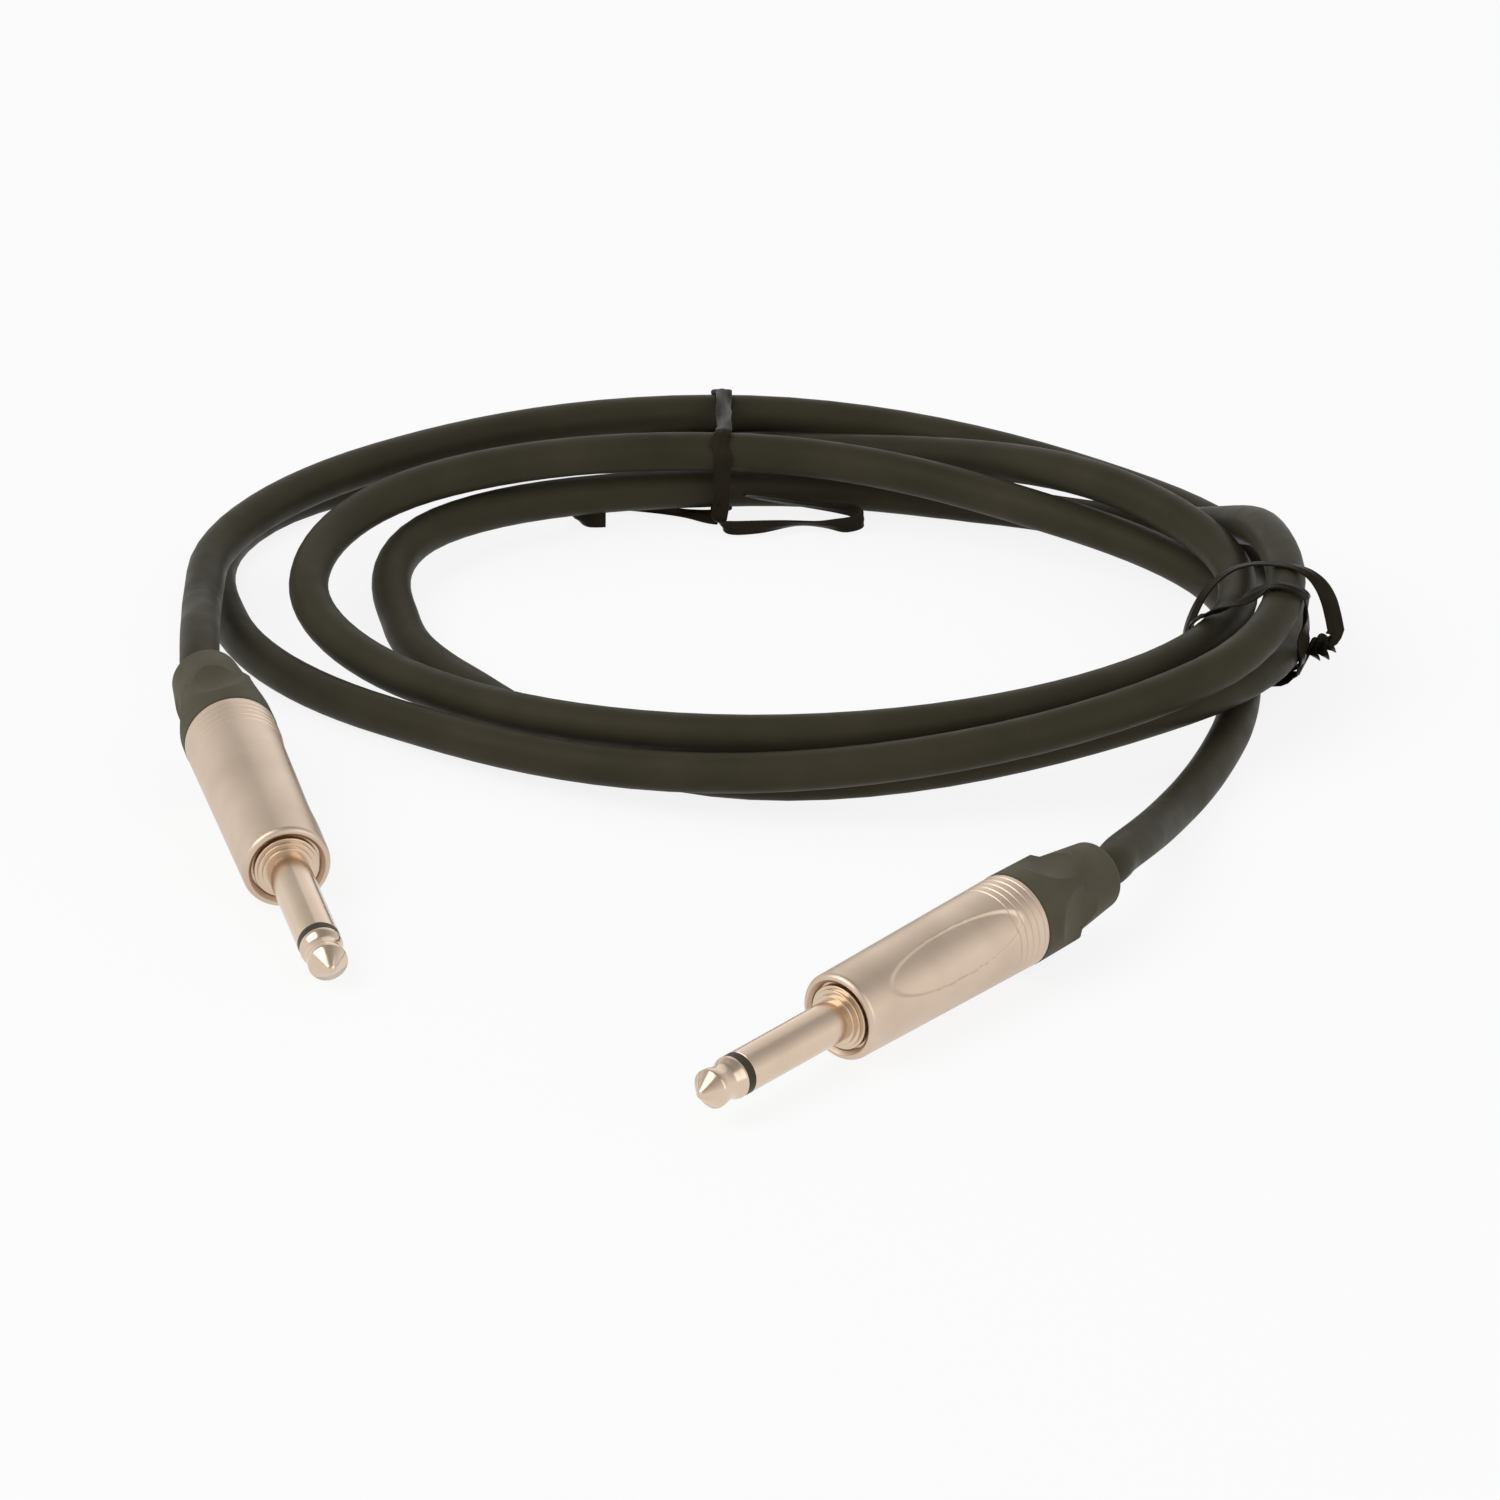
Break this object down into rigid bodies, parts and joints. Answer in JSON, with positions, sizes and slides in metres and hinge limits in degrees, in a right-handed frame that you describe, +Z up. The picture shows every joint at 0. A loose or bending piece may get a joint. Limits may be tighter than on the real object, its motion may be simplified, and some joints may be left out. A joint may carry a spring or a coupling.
{
  "type": "instrument cable",
  "caption": "Coiled round cable with a straight 6.35 mm plug on each end, metal shells, tapered boots and two twist ties.",
  "frame": {"origin": "centre of the bottom of the whole object, on the surface it lies on", "axes": "+Z up; the coil lies flat; +Y from the plugs towards the back of the coil; plug A on the left (-X)"},
  "size_m": [0.1738, 0.2426, 0.0226],
  "materials": {
    "jacket": "satin",
    "tie_plastic": "gloss",
    "contact_metal": "polished nickel",
    "shell_metal": "satin nickel",
    "black_insulator": "satin",
    "laminate": "matte",
    "tinned_brass": "tinned",
    "grey_plastic": "matte",
    "core_insulation": "satin",
    "copper": "bare copper strands",
    "boot_plastic": "matte"
  },
  "bodies": {
    "cable": {"cable_coil": "jacket", "cable_lead_a": "jacket", "cable_lead_b": "jacket", "back_tie": "tie_plastic", "side_tie": "tie_plastic", "tip_a": "contact_metal", "tip_ring_a": "black_insulator", "sleeve_a": "contact_metal", "inner_tube_a": "black_insulator", "rear_insulator_a": "laminate", "tip_lug_a": "tinned_brass", "ground_lug_a": "tinned_brass", "chuck_a": "grey_plastic", "core_wire_a": "core_insulation", "shield_tail_a": "copper", "tip_b": "contact_metal", "tip_ring_b": "black_insulator", "sleeve_b": "contact_metal", "inner_tube_b": "black_insulator", "rear_insulator_b": "laminate", "tip_lug_b": "tinned_brass", "ground_lug_b": "tinned_brass", "chuck_b": "grey_plastic", "core_wire_b": "core_insulation", "shield_tail_b": "copper"},
    "shell_a": {"shell_a": "shell_metal"},
    "boot_a": {"boot_a": "boot_plastic"},
    "shell_b": {"shell_b": "shell_metal"},
    "boot_b": {"boot_b": "boot_plastic"}
  },
  "joints": [
    {"name": "shell_a_turn", "type": "hinge", "parent": "cable", "child": "shell_a", "pos_m": [-0.07271, -0.02816, 0.00841], "axis": [-0.2441, 0.9648, 0.0976], "range_deg": [0, 1800]},
    {"name": "boot_a_slide", "type": "slide", "parent": "cable", "child": "boot_a", "axis": [-0.2441, 0.9648, 0.0976], "range_m": [0, 0.005]},
    {"name": "shell_b_turn", "type": "hinge", "parent": "cable", "child": "shell_b", "pos_m": [0.02428, -0.08305, 0.00729], "axis": [0.6476, 0.761, 0.0384], "range_deg": [0, 1800]},
    {"name": "boot_b_slide", "type": "slide", "parent": "cable", "child": "boot_b", "axis": [0.6476, 0.761, 0.0384], "range_m": [0, 0.005]}
  ],
  "couplings": [
    {"joint": "boot_a_slide", "follows": "shell_a_turn", "m_per_rad": 0.00015915},
    {"joint": "boot_b_slide", "follows": "shell_b_turn", "m_per_rad": 0.00015915}
  ]
}
